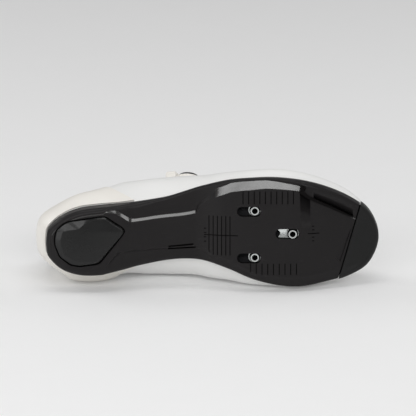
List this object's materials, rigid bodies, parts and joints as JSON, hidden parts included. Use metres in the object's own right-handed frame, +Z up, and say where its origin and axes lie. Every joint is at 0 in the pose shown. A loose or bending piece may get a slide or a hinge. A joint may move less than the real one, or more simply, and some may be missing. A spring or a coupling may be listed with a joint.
{
  "type": "cycling shoe",
  "caption": "Right-foot road cycling shoe lying on its side: stiff black sole with slotted cleat nuts, heel pad and toe bumper, white upper, heel cup and lace dial.",
  "frame": {"origin": "middle of the base of the bounding box, on the floor that the shoe lies on", "axes": "+X from heel to toe along the shoe, +Z up with the lateral side uppermost, the sole facing -Y"},
  "size_m": [0.2944, 0.1166, 0.1004],
  "materials": {
    "moulded_plate": "satin black, finely grained",
    "rubber": "matt black",
    "white_synthetic": "smooth white coated synthetic",
    "heel_cup_plastic": "satin warm white",
    "foam": "dark knitted cover over foam",
    "zinc_steel": "bright plated",
    "lace_cord": "smooth woven cord",
    "dial_plastic": "satin black"
  },
  "bodies": {
    "root": {"outsole": "moulded_plate", "heel_pad": "rubber", "toe_bumper": "rubber", "upper": "white_synthetic", "heel_counter": "heel_cup_plastic", "tongue": "white_synthetic", "insole": "foam", "lace": "lace_cord", "cleat_nut_rear_lateral": "zinc_steel", "cleat_nut_rear_medial": "zinc_steel", "cleat_nut_front": "zinc_steel", "lace_guide_medial_upper": "white_synthetic", "lace_guide_lateral": "white_synthetic", "lace_guide_medial_lower": "white_synthetic", "dial_base": "heel_cup_plastic", "dial_knob": "dial_plastic", "strap_stop": "heel_cup_plastic"}
  },
  "joints": []
}
